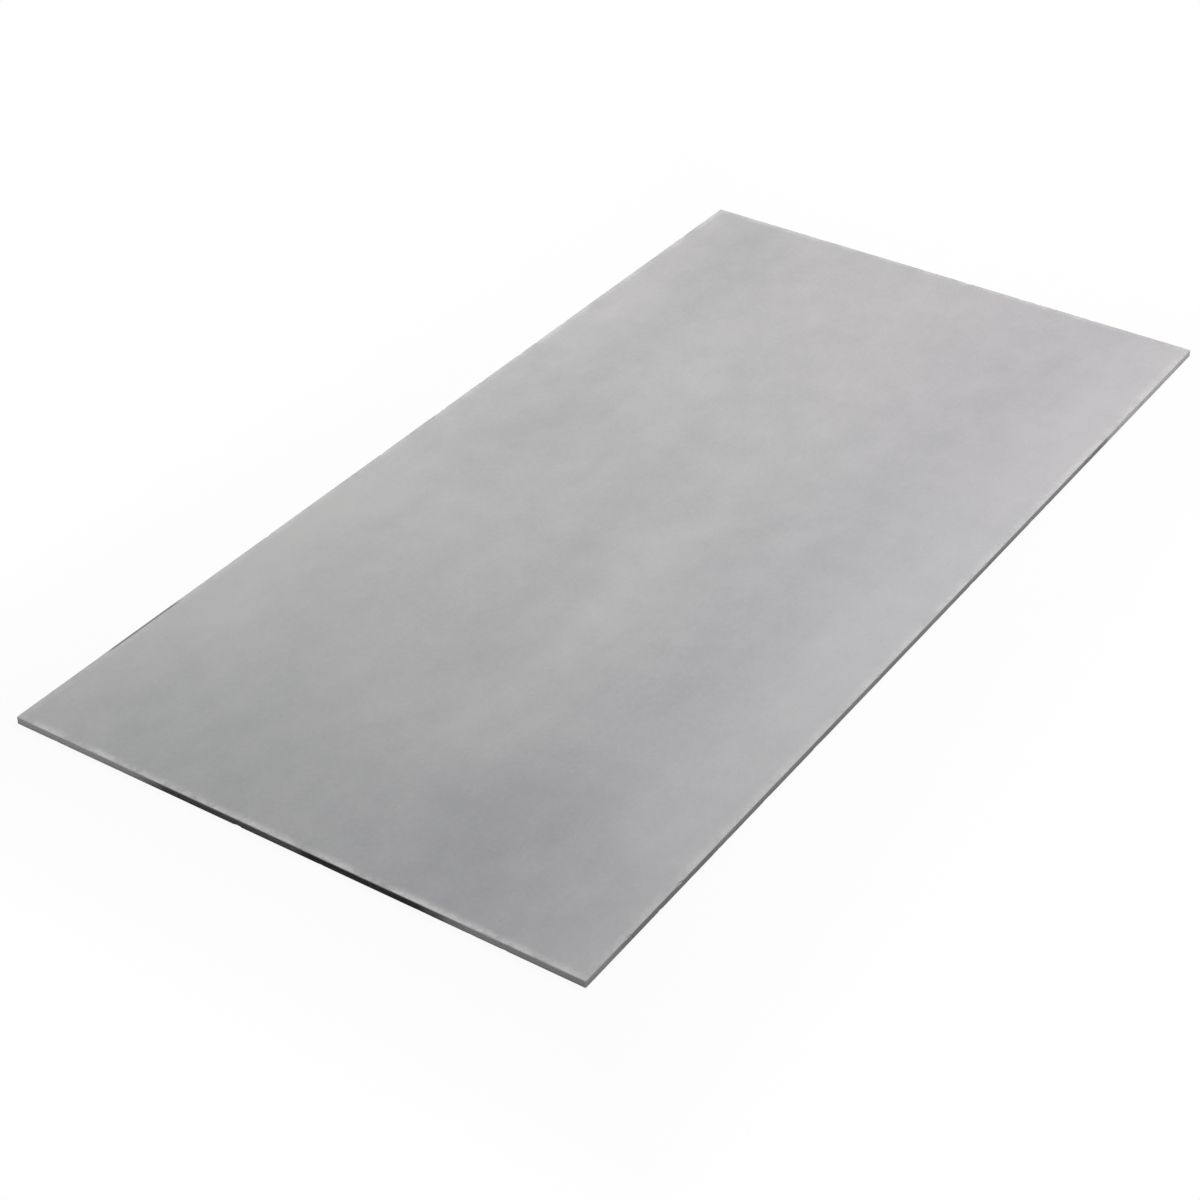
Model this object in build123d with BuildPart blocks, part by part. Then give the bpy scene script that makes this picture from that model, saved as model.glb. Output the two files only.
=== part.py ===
"""Cement board: one square-cut sheet of cured fibre cement, lying flat with its smooth face up.

Millimetres, +Z up. The origin is the centre of the back face, and +Y runs along the sheet's length.
"""

import os

from build123d import *

# The sheet as it is sold
BOARD_WIDTH = 1220.0
BOARD_LENGTH = 2440.0
BOARD_THICKNESS = 15.0

# The trimmed outline: corners left by the saw, blunted a little by handling
CORNER_RADIUS = 2.5

# The arrises: rubbed round along the smooth face, a narrow flat along the back
FACE_ARRIS_RADIUS = 1.0
BACK_ARRIS_FLAT = 0.6

# The board: its outline drawn through the sheet, then both rims eased
with BuildPart() as cement_board:
    with BuildSketch(Plane.XY):
        RectangleRounded(BOARD_WIDTH, BOARD_LENGTH, CORNER_RADIUS)
    extrude(amount=BOARD_THICKNESS)

    smooth_face = cement_board.faces().sort_by(Axis.Z)[-1]
    fillet(smooth_face.edges(), radius=FACE_ARRIS_RADIUS)

    back_face = cement_board.faces().sort_by(Axis.Z)[0]
    chamfer(back_face.edges(), length=BACK_ARRIS_FLAT)

cement_board.part.label = "cement_board"

os.makedirs("parts", exist_ok=True)
export_step(cement_board.part, "parts/cement_board.step")
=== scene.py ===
"""Dress the cement board: one sheet of grey fibre cement, lying on a pale studio floor.

Metres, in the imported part's frame. The origin is the centre of the back face, +Y runs along the sheet's
length and +Z comes out of its smooth face.
"""

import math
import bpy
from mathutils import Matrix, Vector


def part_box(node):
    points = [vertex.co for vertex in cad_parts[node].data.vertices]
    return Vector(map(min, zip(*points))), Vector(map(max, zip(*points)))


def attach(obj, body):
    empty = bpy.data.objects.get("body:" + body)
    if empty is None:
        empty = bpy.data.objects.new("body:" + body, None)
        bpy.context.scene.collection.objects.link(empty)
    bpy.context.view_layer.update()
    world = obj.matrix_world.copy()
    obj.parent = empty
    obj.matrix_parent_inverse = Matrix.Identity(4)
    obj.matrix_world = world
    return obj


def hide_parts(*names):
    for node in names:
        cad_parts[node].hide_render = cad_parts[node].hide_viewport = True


bl_info = {
    "name": "Cement Board",
    "version": (1, 0, 0),
    "blender": (4, 5, 0),
    "location": "View3D > Sidebar > Cement Board",
    "description": "Builds a square-cut sheet of fibre cement, and a plain studio to see it in",
    "category": "Object",
}

from typing import NamedTuple

import bpy
import numpy as np
from bpy.props import FloatProperty, FloatVectorProperty, IntProperty, PointerProperty
from mathutils import Matrix, Vector

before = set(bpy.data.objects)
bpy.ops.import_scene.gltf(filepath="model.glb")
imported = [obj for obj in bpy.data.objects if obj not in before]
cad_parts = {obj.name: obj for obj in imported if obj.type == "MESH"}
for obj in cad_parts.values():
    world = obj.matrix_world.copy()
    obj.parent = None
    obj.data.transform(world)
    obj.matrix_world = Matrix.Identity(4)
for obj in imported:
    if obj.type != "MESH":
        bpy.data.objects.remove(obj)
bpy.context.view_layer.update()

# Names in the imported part
NODE = "cement_board"
BODY = "root"
LOWEST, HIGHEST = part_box(NODE)

# The dressed piece, and the map that its colours are baked through
PIECE = "cement_board_sheet"
BAKE_MAP = "OFBake"
WORN = "worn"

# The finishes, in the order of the sheet's material slots
FACE, EDGE, BACK = range(3)

# White, for light, for the background and for no cast
WHITE = (1.0, 1.0, 1.0)

# The sheet's sides, anticlockwise from above
NEAR, RIGHT, FAR, LEFT = range(4)
SIDES = (NEAR, RIGHT, FAR, LEFT)


# The values that a user would change


def length_value(name, description, default):
    """A length in metres, shown finely enough for a board's rims."""
    return FloatProperty(
        name=name, description=description, default=default, min=0.0, precision=4, unit="LENGTH"
    )


def colour_value(name, description, default):
    """A linear colour."""
    return FloatVectorProperty(
        name=name, description=description, default=default, min=0.0, max=1.0, size=3, subtype="COLOR"
    )


class BoardShape(bpy.types.PropertyGroup):
    """Sizes of the sheet and of its worn rims"""

    width: length_value("Width", "Short side of the sheet, along X", HIGHEST.x - LOWEST.x)
    length: length_value("Length", "Long side of the sheet, along Y", HIGHEST.y - LOWEST.y)
    thickness: length_value("Thickness", "Back face to smooth face", HIGHEST.z - LOWEST.z)
    corner_radius: length_value("Corner radius", "How far handling has blunted the four corners", 0.0025)
    face_arris: length_value("Face arris", "Radius rubbed on the rim of the smooth face", 0.001)
    back_arris: length_value("Back arris", "Width of the flat along the rim of the back", 0.0006)
    pitch: length_value("Point pitch", "Distance between points along the rims", 0.0025)
    chips: IntProperty(name="Chips", description="Small bites out of each rim", default=70, min=0)
    chip_length: length_value("Chip length", "Longest bite along a rim", 0.026)
    chip_depth: length_value("Chip depth", "Deepest bite into a rim", 0.0030)
    plies: IntProperty(
        name="Plies", description="Thin layers that show on the sawn edges", default=10, min=1
    )
    ply_recess: length_value("Ply recess", "How far the saw has dragged out the softest ply", 0.00025)


class BoardFinish(bpy.types.PropertyGroup):
    """Colours of the cured cement"""

    face_dark: colour_value(
        "Face, dark", "Dense cement in the dark clouds and streaks", (0.392, 0.391, 0.395)
    )
    face_pale: colour_value(
        "Face, pale", "Lime bloom in the pale clouds and streaks", (0.533, 0.528, 0.526)
    )
    near_cast: colour_value("Near cast", "Faint green cast towards the near end", (0.987, 1.0, 1.0))
    far_cast: colour_value("Far cast", "Faint warm cast towards the far end", (1.0, 0.985, 0.985))
    right_cast: colour_value(
        "Right cast", "Faint violet cast towards the right side", (0.980, 0.973, 1.0)
    )
    # Also the colour of the painted highlight on the far end of the right edge
    rim_dust_and_highlight: colour_value("Rim dust", "Pale dust rubbed up along the rims", (0.68, 0.68, 0.675))
    broken: colour_value("Broken cement", "Fresh cement inside a chip", (0.60, 0.60, 0.592))
    edge_dark: colour_value("Edge, dark", "Dense plies on the sawn edges", (0.31, 0.31, 0.317))
    edge_pale: colour_value("Edge, pale", "Fibrous plies on the sawn edges", (0.51, 0.51, 0.512))
    # Also the colour of painted shade over the right edge and in the pinholes, and of the darker stretch
    # on the near edge
    grime_and_shade: colour_value("Edge grime", "Handling dirt on the rims and edges", (0.020, 0.020, 0.021))
    back_dark: colour_value("Back, dark", "Dense cement on the rough back", (0.33, 0.327, 0.32))
    back_pale: colour_value("Back, pale", "Dusty cement on the rough back", (0.47, 0.465, 0.452))


class StudioSettings(bpy.types.PropertyGroup):
    """The camera, the lights and the floor"""

    aim: FloatVectorProperty(
        name="Aim", description="Point on the floor at the middle of the picture", size=3,
        default=(0.04194, -0.31103, 0.0), subtype="TRANSLATION",
    )
    azimuth: FloatProperty(
        name="Azimuth", description="Camera's turn to the right of the near short edge",
        default=math.radians(32.7114), subtype="ANGLE",
    )
    elevation: FloatProperty(
        name="Elevation", description="Camera's height above the floor, as an angle",
        default=math.radians(35.0490), subtype="ANGLE",
    )
    roll: FloatProperty(
        name="Roll", description="Camera's turn about its own axis",
        default=math.radians(0.8694), subtype="ANGLE",
    )
    distance: length_value("Distance", "Camera to the aim", 5.0109)
    focal_length: FloatProperty(
        name="Focal length", description="On a sensor 36 mm wide",
        default=78.308, min=1.0, subtype="DISTANCE_CAMERA",
    )
    softbox_width: length_value("Softbox width", "Across the picture", 2.4)
    softbox_depth: length_value("Softbox depth", "Into the picture", 2.0)
    softbox_height: length_value("Softbox height", "Above the floor", 3.4)
    softbox_reach: FloatProperty(
        name="Softbox reach", description="Beyond the board's middle, into the picture",
        default=1.0, unit="LENGTH",
    )
    softbox_shift: FloatProperty(
        name="Softbox shift", description="To the right of the board's middle, across the picture",
        default=0.6, unit="LENGTH",
    )
    softbox_power: FloatProperty(
        name="Softbox power", description="Light given off by the softbox",
        default=97.0, min=0.0, unit="POWER",
    )
    ambience: FloatProperty(name="Ambience", description="Light from all round", default=0.3, min=0.0)
    floor_colour: colour_value("Floor", "Colour of the floor", (0.86, 0.86, 0.86))
    floor_glow: FloatProperty(
        name="Floor glow", description="Share of the floor's look that is plain white beside the board",
        default=0.93, min=0.0, max=1.0, subtype="FACTOR",
    )
    shadow_reach: length_value("Shadow reach", "How far from the board the floor is not all white", 0.5)
    floor_size: length_value("Floor size", "Side of the square floor", 60.0)


# Shader nodes, written as sums


class Wire:
    """An output in a node tree. Sums and products of wires add Math nodes to the same tree."""

    def __init__(self, nodes, socket):
        self.nodes = nodes
        self.socket = socket

    def out(self, name):
        """Another output of the same node."""
        return Wire(self.nodes, self.socket.node.outputs[name])

    def maths(self, operation, *values):
        return self.nodes.add("ShaderNodeMath", {"operation": operation}, dict(enumerate(values)))

    def __add__(self, other):
        return self.maths("ADD", self, other)

    def __radd__(self, other):
        return self.maths("ADD", other, self)

    def __sub__(self, other):
        return self.maths("SUBTRACT", self, other)

    def __rsub__(self, other):
        return self.maths("SUBTRACT", other, self)

    def __mul__(self, other):
        return self.maths("MULTIPLY", self, other)

    def __rmul__(self, other):
        return self.maths("MULTIPLY", other, self)

    def __abs__(self):
        return self.maths("ABSOLUTE", self)

    def lesser(self, other):
        return self.maths("MINIMUM", self, other)

    def greater(self, other):
        return self.maths("MAXIMUM", self, other)

    def sine(self):
        return self.maths("SINE", self)

    def over(self, limit):
        """1 where the value is over the limit, and 0 elsewhere."""
        return self.maths("GREATER_THAN", self, limit)

    def eased(self, low, high):
        """0 at low, 1 at high, and a smooth step between them."""
        return self.nodes.add(
            "ShaderNodeMapRange",
            {"interpolation_type": "SMOOTHSTEP"},
            {"Value": self, "From Min": low, "From Max": high, "To Min": 0.0, "To Max": 1.0},
        )


class Nodes:
    """One node tree, emptied, and the one method that adds nodes to it."""

    def __init__(self, tree):
        tree.nodes.clear()
        self.tree = tree

    def add(self, kind, settings=None, sockets=None):
        """Add a node of that kind, set it up, then give its sockets their values or links."""
        node = self.tree.nodes.new(kind)
        for name, value in (settings or {}).items():
            setattr(node, name, value)
        for key, value in (sockets or {}).items():
            if isinstance(key, int):
                socket = node.inputs[key]
            else:
                socket = next(s for s in node.inputs if s.name == key and s.enabled)
            if isinstance(value, Wire):
                self.tree.links.new(value.socket, socket)
            else:
                socket.default_value = value
        shown = [socket for socket in node.outputs if socket.enabled]
        return Wire(self, shown[0]) if shown else None

    def vector(self, operation, *values):
        return self.add("ShaderNodeVectorMath", {"operation": operation}, dict(enumerate(values)))

    def blend(self, share, first, second):
        """The first colour, with that share of the second."""
        return self.add(
            "ShaderNodeMix",
            {"data_type": "RGBA"},
            {"Factor": share, "A": opaque(first), "B": opaque(second)},
        )


def opaque(colour):
    """A wire as it is, or a colour's three numbers with full alpha."""
    return colour if isinstance(colour, Wire) else (*colour, 1.0)


# Patterns of cured cement: the share of a fleck's radius that shows in full, and how finely points stray
FLECK_CORE = 0.5
STRAY_DETAIL = 2.0


class Pattern(NamedTuple):
    """Soft noise: the size of its features in metres, its place, its detail and its share of the tone"""

    size: tuple
    seed: float
    detail: float
    share: float


def cloud(point, pattern):
    """The pattern's noise at a point of the board, about zero."""
    nodes = point.nodes
    place = nodes.add(
        "ShaderNodeMapping",
        None,
        {"Vector": point, "Location": [pattern.seed] * 3, "Scale": [1 / side for side in pattern.size]},
    )
    level = nodes.add(
        "ShaderNodeTexNoise", None, {"Vector": place, "Scale": 1.0, "Detail": pattern.detail}
    )
    return level * 2.0 - 1.0


def mixed(shares, **signals):
    """The plain share, with each named signal times its own share."""
    level = shares.get("plain", 0.0)
    for name, signal in signals.items():
        level = shares[name] * signal + level
    return level


def patch(point, centre, reach):
    """1 at the centre of a soft oval on the sheet, easing to 0 at its reach across and along."""
    nodes = point.nodes
    offset = nodes.vector("SUBTRACT", point, (*centre, 0.0))
    share = nodes.vector("MULTIPLY", offset, (1 / reach[0], 1 / reach[1], 0.0))
    return 1.0 - nodes.vector("LENGTH", share).out("Value").eased(0.0, 1.0)


def stretch(run, start, end, softness):
    """1 along a run between the two places, easing to 0 just outside them."""
    return run.eased(start - softness, start) * (1.0 - run.eased(end, end + softness))


def strongest(run, marks):
    """The strongest of several marks along a run, each with its start, end, softness and strength."""
    level = 0.0
    for start, end, softness, strength in marks.values():
        level = (strength * stretch(run, start, end, softness)).greater(level)
    return level


def flecks(point, angle, size, radius, share):
    """1 in scattered oval flecks, turned by that angle and spaced by that size. Only a share show."""
    nodes = point.nodes
    place = nodes.add(
        "ShaderNodeMapping",
        None,
        {"Vector": point, "Rotation": (0.0, 0.0, angle), "Scale": [1 / side for side in size]},
    )
    cell = nodes.add("ShaderNodeTexVoronoi", None, {"Vector": place, "Scale": 1.0})
    chance = nodes.add("ShaderNodeSeparateColor", None, {"Color": cell.out("Color")})
    return (1.0 - cell.eased(FLECK_CORE * radius, radius)) * chance.over(1.0 - share)


def strayed(point, size, reach):
    """The point, moved at random by up to half the reach along each axis, over features of that size."""
    nodes = point.nodes
    noise = nodes.add(
        "ShaderNodeTexNoise", None, {"Vector": point, "Scale": 1 / size, "Detail": STRAY_DETAIL}
    )
    stray = nodes.vector("SUBTRACT", noise.out("Color"), (0.5, 0.5, 0.5))
    return nodes.vector("ADD", point, nodes.vector("MULTIPLY", stray, reach))


def new_finish(name):
    """A new material, its emptied nodes, and the point on the sheet in metres."""
    material = bpy.data.materials.new(name)
    material.use_nodes = True
    nodes = Nodes(material.node_tree)
    point = nodes.add("ShaderNodeTexCoord").out("Object")
    return material, nodes, point


def coordinates(point):
    """The three coordinates of a point."""
    parts = point.nodes.add("ShaderNodeSeparateXYZ", None, {"Vector": point})
    return parts.out("X"), parts.out("Y"), parts.out("Z")


def finish_shader(nodes, colour, roughness, relief, specular):
    """Join a finish's colour, roughness and relief, a height in metres, into its surface."""
    normal = nodes.add("ShaderNodeBump", None, {"Strength": 1.0, "Distance": 1.0, "Height": relief})
    surface = nodes.add(
        "ShaderNodeBsdfPrincipled",
        None,
        {"Base Color": colour, "Roughness": roughness, "Normal": normal, "Specular IOR Level": specular},
    )
    nodes.add("ShaderNodeOutputMaterial", None, {"Surface": surface})


# The smooth face: its patterns, and the reach and the share of the paler margins along its long sides
FACE_CLOUDS = Pattern((0.22, 0.34, 0.30), 3.1, 3.0, 0.20)
FACE_STREAKS = Pattern((0.085, 0.50, 0.20), 11.7, 2.0, 0.13)
FACE_BLOTS = Pattern((0.060, 0.085, 0.05), 31.9, 3.0, 0.27)
FACE_FINE_STREAKS = Pattern((0.012, 0.14, 0.20), 23.4, 2.0, 0.05)
FACE_SPECKLE = Pattern((0.007, 0.010, 0.007), 61.3, 2.0, 0.20)
FACE_GRAIN = Pattern((0.0025, 0.0025, 0.0025), 5.3, 2.0, 0.22)
LEFT_MARGIN, LEFT_MARGIN_SHARE = 0.19, 0.23
RIGHT_MARGIN, RIGHT_MARGIN_SHARE = 0.26, 0.46

# Marks on the smooth face: centre, reach across and along, and how far each lightens or darkens it. The
# paler left side is painted light, and the darker near end and near corners are painted shade
FACE_MARKS = {
    "pale middle streak": ((0.075, -0.30), (0.075, 0.95), 0.15),
    "pale rub": ((0.075, -0.17), (0.06, 0.13), 0.07),
    # Painted light over the left side; painted shade over the near end and its corners
    "painted light left side": ((-0.62, -0.60), (0.45, 1.00), 0.36),
    "painted shade near end": ((0.25, -1.12), (0.80, 0.50), -0.22),
    "painted shade right corner": ((0.58, -0.98), (0.15, 0.34), -0.11),
    "painted shade near corner": ((0.27, -0.92), (0.24, 0.36), -0.30),
    "dark left streak": ((-0.43, 0.35), (0.09, 0.75), -0.12),
    "dark far patch": ((-0.46, 1.02), (0.26, 0.45), -0.24),
    "dark middle streak": ((-0.07, -0.25), (0.09, 0.65), -0.10),
}

# How far the marks stray from those ovals, and over features of what size
MARK_SWAY = (0.12, 0.40, 0.0)
MARK_SWAY_SIZE = 0.2

# Wear along the rims of the smooth face: dust, most on the near rim, and a grimy stretch on the left
RIM_DUST_REACH = (0.002, 0.021)
RIM_DUST = {"plain": 0.66, "blots": 1.6, "speckle": 0.8, "grain": 0.3}
NEAR_RIM_DUST = {"plain": 1.0, "near": 0.8}
RIM_GRIME_REACH = (0.002, 0.007)
RIM_GRIME = (-0.96, -0.80)
RIM_GRIME_SOFTNESS = 0.03

# Stray fibres: their bend, their radius as a share of the spacing, and each set's turn, spacing and share
FIBRE_BEND = (0.06, 0.06, 0.0)
FIBRE_BEND_SIZE = 0.04
FIBRE_RADIUS = 0.24
FIBRE_SETS = ((0.35, (0.0035, 0.020, 0.01), 0.45), (1.75, (0.0035, 0.017, 0.01), 0.35))

# Pinholes left by air in the wet cement, painted dark as painted shade in their hollows: their radius is
# a share of the spacing
PINHOLE_SPACING = (0.022, 0.022, 0.022)
PINHOLE_RADIUS = 0.045
PINHOLE_SHARE = 0.5

# How far each of these shows in the colour, the roughness and the relief of the smooth face
FACE_SHOW = {"fibres": 0.12, "dust": 0.55, "pinholes": 0.60, "darkening": 0.70}
FACE_ROUGHNESS = {"plain": 0.66, "tone": -0.10, "grain": 0.10, "dust": 0.10, "worn": 0.20}
FACE_RELIEF = {"grain": 0.00005, "pinholes": -0.0004}
FACE_SPECULAR = 0.4


def smooth_face_finish(shape, finish):
    """Smooth cured cement: cloudy grey with paler long margins, fine grain, stray fibres, pinholes with
    painted shade, and painted light and shade over the face.
    """
    material, nodes, point = new_finish("smooth_cement_face")
    x, y, _ = coordinates(point)
    from_left, from_right = x + shape.width / 2, shape.width / 2 - x
    from_near, from_far = y + shape.length / 2, shape.length / 2 - y
    rim = from_left.lesser(from_right).lesser(from_near).lesser(from_far)
    swayed = strayed(point, MARK_SWAY_SIZE, MARK_SWAY)
    sway_x, sway_y, _ = coordinates(swayed)

    # The tone: patterns in the cement, paler margins and the marks, among them painted light and painted
    # shade
    blots, speckle, grain = (cloud(point, pattern) for pattern in (FACE_BLOTS, FACE_SPECKLE, FACE_GRAIN))
    tone = 0.5 + FACE_BLOTS.share * blots + FACE_SPECKLE.share * speckle + FACE_GRAIN.share * grain
    for pattern in (FACE_CLOUDS, FACE_STREAKS, FACE_FINE_STREAKS):
        tone = tone + pattern.share * cloud(point, pattern)
    tone = tone + LEFT_MARGIN_SHARE * (1.0 - from_left.eased(0.0, LEFT_MARGIN))
    tone = tone + RIGHT_MARGIN_SHARE * (1.0 - from_right.eased(0.0, RIGHT_MARGIN))
    for centre, reach, share in FACE_MARKS.values():
        tone = tone + share * patch(swayed, centre, reach)

    # Faint casts along and across the sheet
    along = sway_y.eased(-shape.length / 2, shape.length / 2)
    across = sway_x.eased(-shape.width / 2, shape.width / 2)
    cast = nodes.blend(along, finish.near_cast, finish.far_cast)
    cast = nodes.vector("MULTIPLY", cast, nodes.blend(across, WHITE, finish.right_cast))

    # Fibres, pinholes and wear
    bent = strayed(point, FIBRE_BEND_SIZE, FIBRE_BEND)
    fibres = 0.0
    for turn, spacing, share in FIBRE_SETS:
        fibres = flecks(bent, turn, spacing, FIBRE_RADIUS, share).greater(fibres)
    pinholes = flecks(point, 0.0, PINHOLE_SPACING, PINHOLE_RADIUS, PINHOLE_SHARE)
    dust = (1.0 - rim.eased(*RIM_DUST_REACH)) * mixed(RIM_DUST, blots=blots, speckle=speckle, grain=grain)
    dust = dust * mixed(NEAR_RIM_DUST, near=1.0 - from_near.eased(*RIM_DUST_REACH))
    darkening = (1.0 - from_left.eased(*RIM_GRIME_REACH)) * stretch(y, *RIM_GRIME, RIM_GRIME_SOFTNESS)
    worn = nodes.add("ShaderNodeAttribute", {"attribute_name": WORN}).out("Fac")

    colour = nodes.blend(tone, finish.face_dark, finish.face_pale)
    colour = nodes.vector("MULTIPLY", colour, cast)
    colour = nodes.blend(FACE_SHOW["fibres"] * fibres, colour, finish.rim_dust_and_highlight)
    colour = nodes.blend(FACE_SHOW["dust"] * dust, colour, finish.rim_dust_and_highlight)
    # Painted shade in the pinholes, in the grime colour
    colour = nodes.blend(FACE_SHOW["pinholes"] * pinholes, colour, finish.grime_and_shade)
    colour = nodes.blend(worn, colour, finish.broken)
    colour = nodes.blend(FACE_SHOW["darkening"] * darkening, colour, finish.grime_and_shade)
    roughness = mixed(FACE_ROUGHNESS, tone=tone, grain=grain, dust=dust, worn=worn)
    relief = mixed(FACE_RELIEF, grain=grain, pinholes=pinholes)
    finish_shader(nodes, colour, roughness, relief, FACE_SPECULAR)
    return material


# The sawn edges: their patterns, unrolled along the edge and up it
EDGE_PLIES = Pattern((0.25, 0.0014, 1.0), 2.6, 2.0, 0.50)
EDGE_SHREDS = Pattern((0.005, 0.0014, 1.0), 9.8, 3.0, 0.35)
EDGE_BLOTCHES = Pattern((0.12, 0.03, 1.0), 17.3, 3.0, 0.40)
EDGE_SAW_MARKS = Pattern((0.003, 0.04, 1.0), 41.1, 2.0, 0.07)

# Marks on the sawn edges: start, end and softness along the edge, and how strong each mark is. The
# darkening over the whole right edge is painted shade
# A darker stretch in the middle of the near edge, through its whole thickness
NEAR_EDGE_DARK_STRETCH = {
    "left dark stretch": (-0.24, -0.14, 0.09, 0.83),
    "right dark stretch": (0.03, 0.265, 0.09, 1.0),
    "thin dark stretch between": (-0.12, 0.0, 0.09, 0.77),
}
RIGHT_EDGE_GRIME_AND_SHADE = {
    # Painted shade: darkens the whole right edge
    "painted shade over whole edge": (-1.22, 1.22, 0.01, 0.16),
    "dirty near stretch": (-1.08, -0.85, 0.10, 0.24),
    "dark nick": (0.665, 0.74, 0.015, 0.32),
}
NEAR_EDGE_DUST = {"dusty left end": (-0.61, -0.42, 0.12, 0.32)}
RIGHT_EDGE_DUST_AND_HIGHLIGHT = {
    "rubbed near corner": (-1.22, -1.20, 0.12, 0.30),
    # Painted highlight: pales the far end of the right edge, nearer the softbox
    "painted highlight at far end": (0.785, 1.22, 0.02, 0.80),
}

# How far the darker stretch on the near edge strays, how patchy the darkening, the dust and the painted
# highlight are, and how soon they fade round a corner
DARK_STRETCH_SWAY = 0.10
DARKENING_PATCHES = {"plain": 1.0, "blotches": 0.2, "plies": 0.3, "shreds": 0.3}
DUST_AND_HIGHLIGHT_PATCHES = {"plain": 0.9, "blotches": 0.4}
EDGE_TURN = 0.004

# The paler top of the sawn edges, measured down from the smooth face, and how far it shows
TOP_RIM_START, TOP_RIM_END = 0.0004, 0.0024
TOP_RIM_SHOW = 0.8

# How far the sawn patterns show in the roughness and the relief
EDGE_ROUGHNESS = {"plain": 0.82, "shreds": 0.15}
EDGE_RELIEF = {"plies": 0.00006, "shreds": 0.00008, "saw_marks": 0.00005}
EDGE_SPECULAR = 0.15


def sawn_edge_finish(shape, finish):
    """Sawn fibre cement: plies along it, saw marks across it, grime and dust, a darker stretch on the
    near edge, painted shade and a painted highlight on the right edge, and a paler band along its top.
    """
    material, nodes, point = new_finish("sawn_cement_edge")
    x, y, height = coordinates(point)
    unrolled = nodes.add("ShaderNodeCombineXYZ", None, {"X": x + y, "Y": height})

    # The tone: plies, shredded fibres, blotches and saw marks
    plies, shreds = cloud(unrolled, EDGE_PLIES), cloud(unrolled, EDGE_SHREDS)
    blotches, saw_marks = cloud(unrolled, EDGE_BLOTCHES), cloud(unrolled, EDGE_SAW_MARKS)
    tone = 0.5 + EDGE_PLIES.share * plies + EDGE_SHREDS.share * shreds
    tone = tone + EDGE_BLOTCHES.share * blotches + EDGE_SAW_MARKS.share * saw_marks

    # Grime, a darker stretch on the near edge and painted shade over the right edge; dust, and a painted
    # highlight on the far end of the right edge
    on_near_edge = 1.0 - (y + shape.length / 2).eased(0.0, EDGE_TURN)
    on_right_edge = 1.0 - (shape.width / 2 - x).eased(0.0, EDGE_TURN)
    near_dark_stretch = strongest(x + DARK_STRETCH_SWAY * blotches, NEAR_EDGE_DARK_STRETCH)
    darkening = near_dark_stretch * on_near_edge + strongest(y, RIGHT_EDGE_GRIME_AND_SHADE) * on_right_edge
    darkening = darkening * mixed(DARKENING_PATCHES, blotches=blotches, plies=plies, shreds=shreds)
    # Dust, and on the far end of the right edge a painted highlight
    dust = strongest(x, NEAR_EDGE_DUST) * on_near_edge + strongest(y, RIGHT_EDGE_DUST_AND_HIGHLIGHT) * on_right_edge
    dust = dust * mixed(DUST_AND_HIGHLIGHT_PATCHES, blotches=blotches)
    top_rim = 1.0 - (shape.thickness - height).eased(TOP_RIM_START, TOP_RIM_END)
    worn = nodes.add("ShaderNodeAttribute", {"attribute_name": WORN}).out("Fac")

    colour = nodes.blend(tone, finish.edge_dark, finish.edge_pale)
    colour = nodes.blend(darkening, colour, finish.grime_and_shade)
    colour = nodes.blend(dust, colour, finish.rim_dust_and_highlight)
    colour = nodes.blend(TOP_RIM_SHOW * top_rim, colour, finish.rim_dust_and_highlight)
    colour = nodes.blend(worn, colour, finish.broken)
    roughness = mixed(EDGE_ROUGHNESS, shreds=shreds)
    relief = mixed(EDGE_RELIEF, plies=plies, shreds=shreds, saw_marks=saw_marks)
    finish_shader(nodes, colour, roughness, relief, EDGE_SPECULAR)
    return material


# The back: its patterns, and the weave of the felt that it was pressed against
BACK_CLOUDS = Pattern((0.35, 0.60, 0.30), 7.7, 3.0, 0.35)
BACK_STREAKS = Pattern((0.06, 1.20, 0.20), 19.3, 2.0, 0.30)
BACK_MOTTLE = Pattern((0.02, 0.02, 0.02), 37.1, 3.0, 0.25)
BACK_GRAIN = Pattern((0.0018, 0.0018, 0.0018), 53.2, 2.0, 0.15)
FELT_PITCH = 0.0026
FELT_SLACK = 2.0
FELT_SHARE = 0.08
BACK_ROUGHNESS = {"plain": 0.85, "mottle": 0.10}
BACK_RELIEF = {"weave": 0.00006, "grain": 0.00008, "mottle": 0.00006}
BACK_SPECULAR = 0.3


def rough_back_finish(finish):
    """The back, as it left the felt: pressed with a fine weave, dusty and a little warmer in hue."""
    material, nodes, point = new_finish("rough_cement_back")
    x, y, _ = coordinates(point)
    mottle, grain = cloud(point, BACK_MOTTLE), cloud(point, BACK_GRAIN)
    ribs = (x * (math.tau / FELT_PITCH) + FELT_SLACK * mottle).sine()
    threads = (y * (math.tau / FELT_PITCH) + FELT_SLACK * grain).sine()
    weave = ribs * threads
    tone = 0.5 + FELT_SHARE * weave + BACK_MOTTLE.share * mottle + BACK_GRAIN.share * grain
    for pattern in (BACK_CLOUDS, BACK_STREAKS):
        tone = tone + pattern.share * cloud(point, pattern)

    colour = nodes.blend(tone, finish.back_dark, finish.back_pale)
    roughness = mixed(BACK_ROUGHNESS, mottle=mottle)
    relief = mixed(BACK_RELIEF, weave=weave, grain=grain, mottle=mottle)
    finish_shader(nodes, colour, roughness, relief, BACK_SPECULAR)
    return material


# The sheet's mesh: steps round a corner and over the rubbed rim
CORNER_STEPS = 6
ARRIS_STEPS = 5

# The large faces: rim points to each cell of their grid, and how far in from the sides the grid starts
FINE_PER_CELL = 8
GRID_INSET = 0.012

# The angle past which an edge is shaded crisp
SHARP_ANGLE = math.radians(28.0)

# Room for the rims: a share of the corner radius, how it grows away from the corners, and its limits
RIM_SHARE = 0.92
ROOM_SLOPE = 0.7
WIDEST_RIM = 0.006
DEEPEST_ARRIS_SHARE = 0.85

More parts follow.
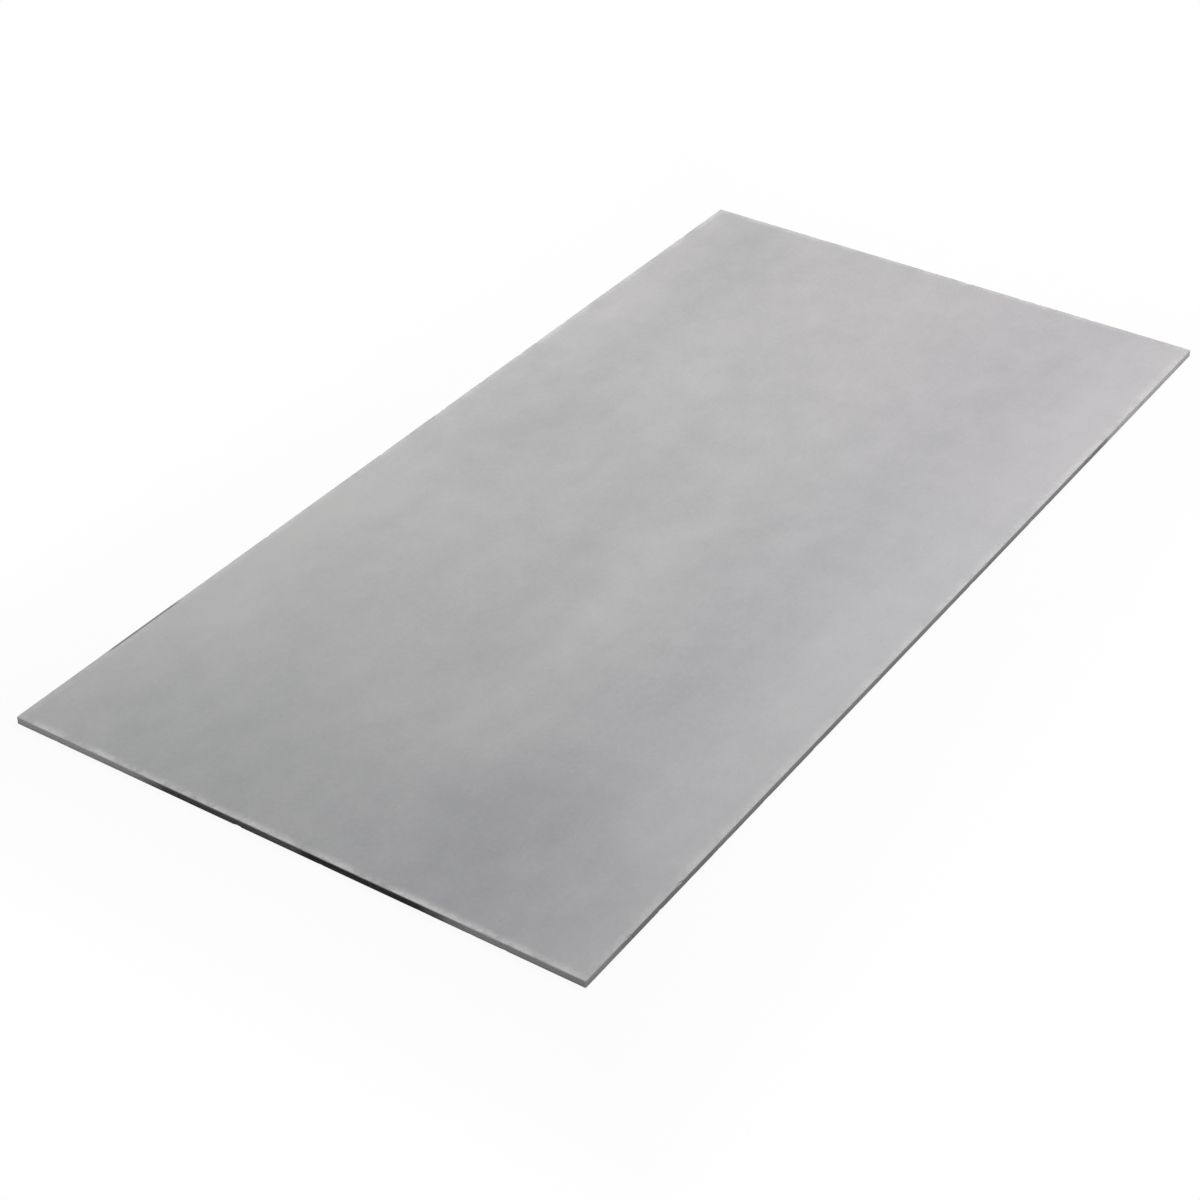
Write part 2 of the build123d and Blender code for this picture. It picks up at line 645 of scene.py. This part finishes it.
# Rubbed rims and dragged plies: how much is rubbed off, and how far apart along the rim that changes
LEAST_RUBBED = 0.75
RUBBED_SPREAD = 0.6
RUBBED_SPACING = 0.15
PLY_SPACING = 0.05
FEWEST_KNOTS = 4

# Chips: how short, shallow, seldom deep, steep and ragged they are, and how deep on the back rim
SHORTEST_CHIP = 0.35
SHALLOWEST_CHIP = 0.15
DEEP_CHIP_POWER = 4
CHIP_STEEPNESS = 2.0
RAGGED = 0.45
BACK_CHIP_SHARE = 0.5

# Broken cement: the depth at which a chip shows it in full, and how rough it is
FRESH_DEPTH = 0.0008
BROKEN_ROUGHNESS = 0.22

# The share of the rubbed rim that has the finish of the smooth face, and the seed of all the wear
FACE_RIM_SHARE = 0.5
WEAR_SEED = 20


class Outline:
    """Points round the trimmed sheet, anticlockwise from the left end of the near edge.

    A point lies at core + (corner radius - inset) * facing, so that inset corners stay round. Its room is
    the most that the rim may be inset there, which is least at the corners.
    """

    def __init__(self, shape):
        self.radius = shape.corner_radius
        half = np.array([shape.width, shape.length]) / 2 - self.radius
        turns = np.array([(-1, -1), (1, -1), (1, 1), (-1, 1)]) * half
        spans = (shape.width, shape.length, shape.width, shape.length)
        self.cells = [max(1, round(span / shape.pitch / FINE_PER_CELL)) for span in spans]
        self.starts = []
        core, angles, clear = [], [], []
        for side in SIDES:
            self.starts.append(len(angles))
            corner, next_corner = turns[side], turns[(side + 1) % len(SIDES)]
            facing = (side - 1) * math.pi / 2
            for share in np.linspace(0.0, 1.0, self.cells[side] * FINE_PER_CELL + 1):
                core.append(corner + share * (next_corner - corner))
                angles.append(facing)
                clear.append(min(share, 1.0 - share) * np.linalg.norm(next_corner - corner))
            for step in range(1, CORNER_STEPS):
                core.append(next_corner)
                angles.append(facing + step / CORNER_STEPS * math.pi / 2)
                clear.append(0.0)
        self.room = np.minimum(RIM_SHARE * self.radius + ROOM_SLOPE * np.array(clear), WIDEST_RIM)
        self.core = np.array(core)
        self.facing = np.stack([np.cos(angles), np.sin(angles)], axis=1)
        edge = self.ring(0.0)
        self.steps = np.linalg.norm(np.roll(edge, -1, axis=0) - edge, axis=1)
        self.runs = np.cumsum(self.steps) - self.steps

    def __len__(self):
        return len(self.core)

    def ring(self, inset):
        """The points, moved in from the outline by one inset or by one for each point."""
        reach = np.broadcast_to(self.radius - inset, len(self.core))
        return self.core + self.facing * reach[:, None]

    def wander(self, random, spacing):
        """Random levels from 0 to 1 that drift along the outline, with about that spacing."""
        total = self.steps.sum()
        knots = max(FEWEST_KNOTS, round(total / spacing))
        levels = random.random(knots)
        return np.interp(self.runs / total * knots, np.arange(knots + 1), np.append(levels, levels[0]))

    def bites(self, random, count, longest, deepest):
        """How far chips bite in at each point: most are shallow, and all are ragged."""
        total = self.steps.sum()
        depth = np.zeros(len(self.core))
        for _ in range(count):
            middle = random.random() * total
            half_length = longest / 2 * (SHORTEST_CHIP + (1.0 - SHORTEST_CHIP) * random.random())
            rarity = random.random() ** DEEP_CHIP_POWER
            deep = deepest * (SHALLOWEST_CHIP + (1.0 - SHALLOWEST_CHIP) * rarity)
            away = np.abs((self.runs - middle + total / 2) % total - total / 2)
            bowl = CHIP_STEEPNESS * (1.0 - (away / half_length) ** 2)
            depth = np.maximum(depth, deep * np.clip(bowl, 0.0, 1.0))
        return depth * random.uniform(RAGGED, 1.0, len(depth))


class Rims:
    """The rings of points from the flat of the smooth face, over both rims, to the flat of the back."""

    def __init__(self, shape, outline):
        random = np.random.default_rng(WEAR_SEED)
        self.outline = outline
        self.points, self.worn, self.finishes = [], [], []
        flat_inset = outline.room
        deepest = DEEPEST_ARRIS_SHARE * flat_inset
        rubbing = LEAST_RUBBED + RUBBED_SPREAD * outline.wander(random, RUBBED_SPACING)
        rubbed = shape.face_arris * rubbing
        face_bites = outline.bites(random, shape.chips, shape.chip_length, shape.chip_depth)
        face_in = np.minimum(rubbed + face_bites, deepest)
        face_down = np.minimum(rubbed + face_bites * random.uniform(RAGGED, 1.0, len(outline)), deepest)
        back_depth = BACK_CHIP_SHARE * shape.chip_depth
        back_bites = outline.bites(random, shape.chips, shape.chip_length, back_depth)
        back_arris = np.minimum(shape.back_arris + back_bites, deepest)
        face_wear = np.clip(face_bites / FRESH_DEPTH, 0.0, 1.0)
        back_wear = np.clip(back_bites / FRESH_DEPTH, 0.0, 1.0)
        unworn = np.zeros(len(outline))

        # The rubbed rim of the smooth face: round, but flattened where it is chipped
        self.add(flat_inset, shape.thickness, unworn, FACE)
        for step in range(ARRIS_STEPS + 1):
            turn = step / ARRIS_STEPS
            round_in = 1.0 - math.sin(turn * math.pi / 2)
            round_down = 1.0 - math.cos(turn * math.pi / 2)
            midway = 4 * turn * (1.0 - turn)
            rough = BROKEN_ROUGHNESS * midway * face_wear * random.uniform(-1.0, 1.0, len(outline))
            inset = face_in * (round_in + face_wear * (1.0 - turn - round_in) + rough)
            drop = face_down * (round_down + face_wear * (turn - round_down) + rough)
            self.add(inset, shape.thickness - drop, face_wear, FACE if turn < FACE_RIM_SHARE else EDGE)

        # The sawn edge: the saw drags softer plies out a little
        top, bottom = shape.thickness - face_down, back_arris
        for ply in range(1, shape.plies):
            share = ply / shape.plies
            softness = random.random()
            recess = shape.ply_recess * softness * outline.wander(random, PLY_SPACING)
            self.add(recess, top + share * (bottom - top), unworn, EDGE)

        # The narrow flat along the rim of the back
        self.add(unworn, back_arris, back_wear, EDGE)
        self.add(back_arris, 0.0, back_wear, BACK)
        self.add(flat_inset, 0.0, unworn, BACK)

    def add(self, inset, height, worn, finish):
        """Add a ring: the finish is that of the faces just below it."""
        flat = self.outline.ring(inset)
        level = np.broadcast_to(height, len(flat))
        self.points.append(np.column_stack([flat, level]))
        self.worn.append(worn)
        self.finishes.append(finish)

    def depths(self):
        """Distance of each ring from the first, over the rim and down the edge."""
        steps = [np.mean(np.linalg.norm(b - a, axis=1)) for a, b in zip(self.points, self.points[1:])]
        return np.concatenate([[0.0], np.cumsum(steps)])


class BakeLayout:
    """Where each face lies on the square bake map: both large faces side by side, the edges in strips."""

    # Clear space between neighbours, and the width of an edge's strip, as shares of the map
    GAP = 0.008
    STRIP = 0.030

    def __init__(self, shape, depth):
        # Side by side lie both faces and the two long strips, and under them the two short strips
        across = (1 - 2 * self.STRIP - 5 * self.GAP) / 2 / shape.width
        along = (1 - self.STRIP - 3 * self.GAP) / shape.length
        self.scale = min(across, along)
        self.stretch = self.STRIP / depth
        self.half = np.array([shape.width, shape.length]) / 2
        wide = shape.width * self.scale
        base = self.STRIP + 2 * self.GAP
        self.face_corner = np.array([self.GAP, base])
        self.back_corner = np.array([wide + 2 * self.STRIP + 4 * self.GAP, base])
        self.strip_corners = {
            NEAR: np.array([self.GAP, self.GAP]),
            FAR: np.array([self.back_corner[0], self.GAP]),
            RIGHT: np.array([wide + 2 * self.GAP, base]),
            LEFT: np.array([wide + self.STRIP + 3 * self.GAP, base]),
        }

    def face(self, points):
        return self.face_corner + self.scale * (points[..., :2] + self.half)

    def back(self, points):
        return self.back_corner + self.scale * (points[..., :2] * (-1.0, 1.0) + self.half)

    def strip(self, side, run, depth):
        flat = np.stack([run * self.scale, depth * self.stretch], axis=-1)
        upright = side in (RIGHT, LEFT)
        return self.strip_corners[side] + (flat[..., ::-1] if upright else flat)


class SheetMesh:
    """Collects the sheet's points and faces, with each face's finish and place on the bake map."""

    def __init__(self, shape):
        self.shape = shape
        self.outline = Outline(shape)
        self.rims = Rims(shape, self.outline)
        self.points = list(self.rims.points)
        self.worn = list(self.rims.worn)
        self.count = len(self.outline) * len(self.rims.points)
        self.faces, self.finishes, self.places = [], [], []
        self.depths = self.rims.depths()
        self.layout = BakeLayout(shape, self.depths[-1])
        self.add_rims()
        self.add_flat(shape.thickness, 0, FACE)
        self.add_flat(0.0, len(self.rims.points) - 1, BACK)

    def add_face(self, corners, finish, places):
        self.faces.append(corners)
        self.finishes.append(finish)
        self.places.extend(places)

    def add_rims(self):
        """Four-sided faces between neighbouring rings, side by side round the outline."""
        around = len(self.outline)
        sides = np.searchsorted(self.outline.starts, np.arange(around), side="right") - 1
        for ring in range(len(self.rims.points) - 1):
            finish = self.rims.finishes[ring]
            upper, lower = self.rims.points[ring], self.rims.points[ring + 1]
            for here in range(around):
                after = (here + 1) % around
                side = sides[here]
                start = self.outline.runs[here] - self.outline.runs[self.outline.starts[side]]
                end = start + self.outline.steps[here]
                corners = (ring * around + here, (ring + 1) * around + here,
                           (ring + 1) * around + after, ring * around + after)
                solid = np.array([upper[here], lower[here], lower[after], upper[after]])
                if finish == FACE:
                    places = self.layout.face(solid)
                elif finish == BACK:
                    places = self.layout.back(solid)
                else:
                    run = np.array([start, start, end, end])
                    depth = self.depths[[ring, ring + 1, ring + 1, ring]]
                    places = self.layout.strip(side, run, depth)
                self.add_face(corners, finish, places)

    def add_flat(self, height, ring, finish):
        """A grid over one large face, and the fans that join it to the closely set points of its rim."""
        wide, long = self.outline.cells[NEAR], self.outline.cells[RIGHT]
        half = np.array([self.shape.width, self.shape.length]) / 2 - GRID_INSET
        xs = np.linspace(-half[0], half[0], wide + 1)
        ys = np.linspace(-half[1], half[1], long + 1)
        grid = np.array([(x, y, height) for y in ys for x in xs])
        base = self.count
        self.points.append(grid)
        self.worn.append(np.zeros(len(grid)))
        self.count += len(grid)

        def at(column, row):
            return base + row * (wide + 1) + column

        corners = [
            (at(i, j), at(i + 1, j), at(i + 1, j + 1), at(i, j + 1))
            for j in range(long)
            for i in range(wide)
        ]
        border = {
            NEAR: [at(i, 0) for i in range(wide + 1)],
            RIGHT: [at(wide, j) for j in range(long + 1)],
            FAR: [at(i, long) for i in range(wide, -1, -1)],
            LEFT: [at(0, j) for j in range(long, -1, -1)],
        }
        around = len(self.outline)
        for side in SIDES:
            start = self.outline.starts[side]
            rim = [ring * around + (start + k) % around for k in range(self.cells_round(side) + 1)]
            for cell, (first, second) in enumerate(zip(border[side], border[side][1:])):
                fine = rim[cell * FINE_PER_CELL:(cell + 1) * FINE_PER_CELL + 1]
                middle = FINE_PER_CELL // 2
                corners += [(a, b, first) for a, b in zip(fine[:middle], fine[1:])]
                corners.append((fine[middle], second, first))
                corners += [(a, b, second) for a, b in zip(fine[middle:], fine[middle + 1:])]
            turn = rim[self.outline.cells[side] * FINE_PER_CELL:]
            corners += [(a, b, border[side][-1]) for a, b in zip(turn, turn[1:])]

        solid = np.concatenate(self.points)
        place = self.layout.face if finish == FACE else self.layout.back
        for face in corners:
            outward = face if finish == FACE else face[::-1]
            self.add_face(outward, finish, place(solid[list(outward)]))

    def cells_round(self, side):
        """Steps along a side and round the corner after it."""
        return self.outline.cells[side] * FINE_PER_CELL + CORNER_STEPS

    def build(self, name):
        """The finished mesh."""
        mesh = bpy.data.meshes.new(name)
        mesh.from_pydata(np.concatenate(self.points).tolist(), [], self.faces)
        mesh.polygons.foreach_set("material_index", self.finishes)
        mesh.polygons.foreach_set("use_smooth", np.ones(len(self.faces), dtype=bool))
        mesh.set_sharp_from_angle(angle=SHARP_ANGLE)
        worn = mesh.attributes.new(WORN, "FLOAT", "POINT")
        worn.data.foreach_set("value", np.concatenate(self.worn))
        layer = mesh.uv_layers.new(name=BAKE_MAP)
        layer.data.foreach_set("uv", np.array(self.places).ravel())
        mesh.update()
        return mesh


class BOARD_OT_build_sheet(bpy.types.Operator):
    """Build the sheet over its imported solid, with its face, edge and back finishes"""

    bl_idname = "board.build_sheet"
    bl_label = "Build Sheet"

    def execute(self, context):
        shape, finish = context.scene.board_shape, context.scene.board_finish
        mesh = SheetMesh(shape).build(PIECE)
        mesh.materials.append(smooth_face_finish(shape, finish))
        mesh.materials.append(sawn_edge_finish(shape, finish))
        mesh.materials.append(rough_back_finish(finish))
        sheet = bpy.data.objects.new(PIECE, mesh)
        context.scene.collection.objects.link(sheet)
        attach(sheet, BODY)
        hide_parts(NODE)
        return {"FINISHED"}


# The studio, and the width of the camera's sensor in millimetres
SENSOR_WIDTH = 36.0


def seen_plainly(nodes):
    """1 for what the camera sees directly, or in a gloss or through glass, and 0 for other light."""
    path = nodes.add("ShaderNodeLightPath")
    mirrored = path.out("Is Glossy Ray").greater(path.out("Is Transmission Ray"))
    return path.out("Is Camera Ray").greater(mirrored)


def light_world(scene, studio):
    """Even light from all round, in front of a white background."""
    world = bpy.data.worlds.new("studio_world")
    world.use_nodes = True
    scene.world = world
    nodes = Nodes(world.node_tree)
    light = nodes.add("ShaderNodeBackground", None, {"Color": opaque(WHITE), "Strength": studio.ambience})
    white = nodes.add("ShaderNodeBackground", None, {"Color": opaque(WHITE), "Strength": 1.0})
    surround = nodes.add("ShaderNodeMixShader", None, {0: seen_plainly(nodes), 1: light, 2: white})
    nodes.add("ShaderNodeOutputWorld", None, {"Surface": surround})


def lay_floor(scene, studio, shape):
    """A large pale floor that looks white but keeps the board's shadow."""
    half = studio.floor_size / 2
    mesh = bpy.data.meshes.new("studio_floor")
    corners = [(-half, -half, 0.0), (half, -half, 0.0), (half, half, 0.0), (-half, half, 0.0)]
    mesh.from_pydata(corners, [], [(0, 1, 2, 3)])
    material = bpy.data.materials.new("studio_floor")
    material.use_nodes = True
    nodes = Nodes(material.node_tree)
    matt = nodes.add("ShaderNodeBsdfDiffuse", None, {"Color": opaque(studio.floor_colour)})
    glow = nodes.add("ShaderNodeEmission", None, {"Color": opaque(WHITE), "Strength": 1.0})
    x, y, _ = coordinates(nodes.add("ShaderNodeTexCoord").out("Object"))
    beyond = (abs(x) - shape.width / 2).greater(abs(y) - shape.length / 2)
    white = studio.floor_glow + (1.0 - studio.floor_glow) * beyond.eased(0.0, studio.shadow_reach)
    share = seen_plainly(nodes) * white
    surface = nodes.add("ShaderNodeMixShader", None, {0: share, 1: matt, 2: glow})
    nodes.add("ShaderNodeOutputMaterial", None, {"Surface": surface})
    mesh.materials.append(material)
    floor = bpy.data.objects.new("studio_floor", mesh)
    scene.collection.objects.link(floor)


def view_axes(studio):
    """The camera's right, up and backward directions."""
    azimuth, elevation = studio.azimuth, studio.elevation
    back = Vector((
        math.sin(azimuth) * math.cos(elevation),
        -math.cos(azimuth) * math.cos(elevation),
        math.sin(elevation),
    ))
    right = Vector((math.cos(azimuth), math.sin(azimuth), 0.0))
    turn = Matrix.Rotation(studio.roll, 3, back)
    right = turn @ right
    return right, back.cross(right), back


def hang_softbox(scene, studio):
    """One large soft light overhead, beyond the middle of the board, square to the camera's view."""
    lamp = bpy.data.lights.new("softbox", "AREA")
    lamp.shape = "RECTANGLE"
    lamp.size = studio.softbox_width
    lamp.size_y = studio.softbox_depth
    lamp.energy = studio.softbox_power
    softbox = bpy.data.objects.new("softbox", lamp)
    into = Vector((-math.sin(studio.azimuth), math.cos(studio.azimuth), 0.0))
    across = Vector((math.cos(studio.azimuth), math.sin(studio.azimuth), 0.0))
    softbox.location = studio.softbox_reach * into + studio.softbox_shift * across
    softbox.location.z = studio.softbox_height
    softbox.rotation_euler.z = studio.azimuth
    scene.collection.objects.link(softbox)


def set_camera(scene, studio):
    """The camera that took the picture."""
    lens = bpy.data.cameras.new("camera")
    lens.sensor_width = SENSOR_WIDTH
    lens.lens = studio.focal_length
    camera = bpy.data.objects.new("camera", lens)
    right, up, back = view_axes(studio)
    camera.matrix_world = Matrix.LocRotScale(
        Vector(studio.aim) + studio.distance * back, Matrix((right, up, back)).transposed(), None
    )
    scene.collection.objects.link(camera)
    scene.camera = camera


class BOARD_OT_set_stage(bpy.types.Operator):
    """Set up the floor, the lights and the camera"""

    bl_idname = "board.set_stage"
    bl_label = "Set Stage"

    def execute(self, context):
        scene = context.scene
        studio = scene.board_studio
        scene.view_settings.view_transform = "Standard"
        lay_floor(scene, studio, scene.board_shape)
        light_world(scene, studio)
        hang_softbox(scene, studio)
        set_camera(scene, studio)
        return {"FINISHED"}


class BOARD_PT_sidebar(bpy.types.Panel):
    """Lists the steps, with the values that each one reads"""

    bl_label = "Cement Board"
    bl_space_type = "VIEW_3D"
    bl_region_type = "UI"
    bl_category = "Cement Board"

    def draw(self, context):
        scene = context.scene
        steps = (
            (BOARD_OT_build_sheet, (scene.board_shape, scene.board_finish)),
            (BOARD_OT_set_stage, (scene.board_studio,)),
        )
        for step, groups in steps:
            column = self.layout.column()
            for group in groups:
                for name in group.__annotations__:
                    column.prop(group, name)
            column.operator(step.bl_idname)


CLASSES = (
    BoardShape,
    BoardFinish,
    StudioSettings,
    BOARD_OT_build_sheet,
    BOARD_OT_set_stage,
    BOARD_PT_sidebar,
)


def register():
    for cls in CLASSES:
        bpy.utils.register_class(cls)
    bpy.types.Scene.board_shape = PointerProperty(type=BoardShape)
    bpy.types.Scene.board_finish = PointerProperty(type=BoardFinish)
    bpy.types.Scene.board_studio = PointerProperty(type=StudioSettings)


def unregister():
    del bpy.types.Scene.board_studio
    del bpy.types.Scene.board_finish
    del bpy.types.Scene.board_shape
    for cls in reversed(CLASSES):
        bpy.utils.unregister_class(cls)


def main():
    register()
    bpy.ops.board.build_sheet()
    bpy.ops.board.set_stage()


if __name__ == "__main__":
    main()
